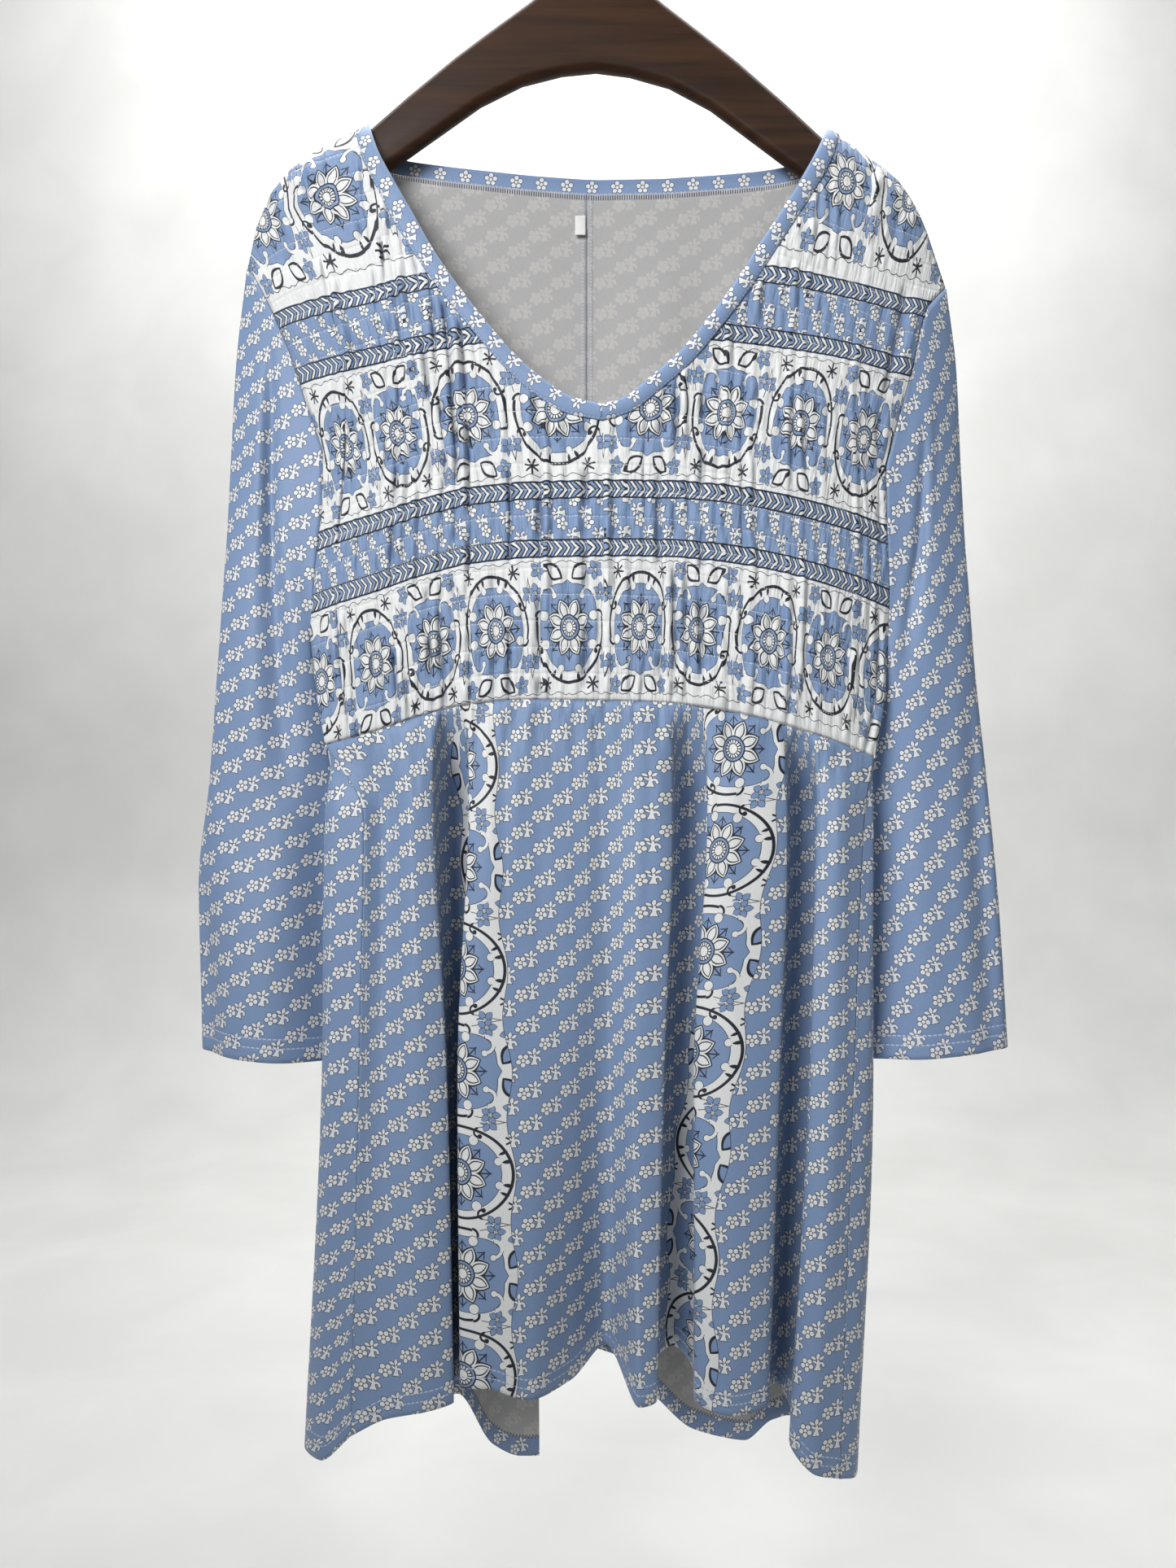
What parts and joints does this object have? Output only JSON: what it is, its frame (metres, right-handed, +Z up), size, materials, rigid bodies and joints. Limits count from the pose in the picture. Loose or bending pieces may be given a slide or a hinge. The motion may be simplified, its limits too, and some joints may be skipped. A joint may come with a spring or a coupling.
{
  "type": "v-neck tunic blouse with three-quarter sleeves on its wooden hanger",
  "caption": "V-neck tunic blouse with a shirred border-print yoke and sprigged skirt, hanging on a wooden hanger.",
  "frame": {"origin": "hold point, inside the top of the hanger's hook, where a rail carries it", "axes": "+Z up, +X to the viewer's right, the front of the blouse faces -Y"},
  "size_m": [0.5342, 0.1092, 1.0886],
  "materials": {
    "border_print": "soft satin jersey",
    "sprig_print": "soft satin jersey",
    "back_print": "soft satin jersey",
    "binding_print": "soft satin jersey",
    "label_tape": "matt woven tape",
    "walnut": "dark varnish",
    "hook_steel": "polished"
  },
  "bodies": {
    "root": {"bodice_front": "border_print", "skirt_front": "sprig_print", "back_left": "back_print", "back_right": "back_print", "sleeve_left": "sprig_print", "sleeve_right": "sprig_print", "neck_binding_left": "binding_print", "neck_binding_right": "binding_print", "neck_binding_back": "binding_print", "size_label": "label_tape", "hanger_body": "walnut", "hanger_hook": "hook_steel"}
  },
  "joints": []
}
